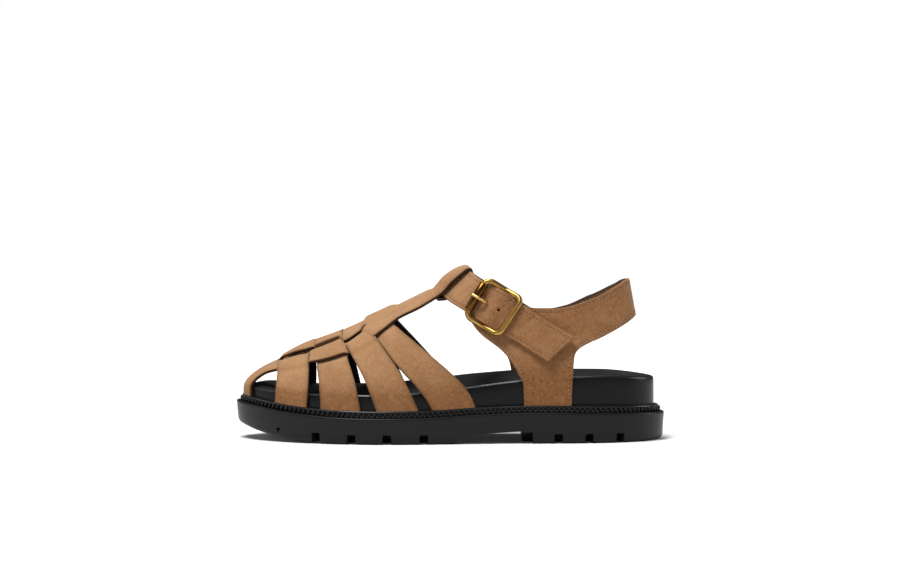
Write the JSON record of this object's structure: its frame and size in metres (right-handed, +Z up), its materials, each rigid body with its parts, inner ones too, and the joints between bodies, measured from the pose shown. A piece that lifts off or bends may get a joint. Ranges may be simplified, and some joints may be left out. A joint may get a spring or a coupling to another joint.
{
  "type": "roman sandal",
  "caption": "Left roman sandal with woven suede straps, T-bar loop, buckled ankle strap and heel band on a black lugged rubber sole with a ribbed welt and moulded footbed.",
  "frame": {"origin": "on the floor under the middle of the sandal's bounding box", "axes": "+X towards the heel, -Y towards the outer (buckle) side of the foot, +Z up"},
  "size_m": [0.2701, 0.1024, 0.1103],
  "materials": {
    "outsole_rubber": "moulded, satin",
    "welt_rubber": "moulded, ribbed",
    "footbed_foam": "moulded, matt",
    "insole_cover": "smooth, matt",
    "vamp_suede": "brushed suede",
    "quarter_suede": "brushed suede",
    "strap_suede": "brushed suede",
    "frame_gold": "antique plate, polished",
    "roller_gold": "antique plate, polished",
    "prong_gold": "antique plate, polished"
  },
  "bodies": {
    "root": {"outsole": "outsole_rubber", "welt": "welt_rubber", "footbed": "footbed_foam", "insole": "insole_cover", "vamp": "vamp_suede", "quarter": "quarter_suede", "ankle_strap": "strap_suede", "buckle_frame": "frame_gold", "buckle_roller": "roller_gold", "buckle_prong": "prong_gold"}
  },
  "joints": []
}
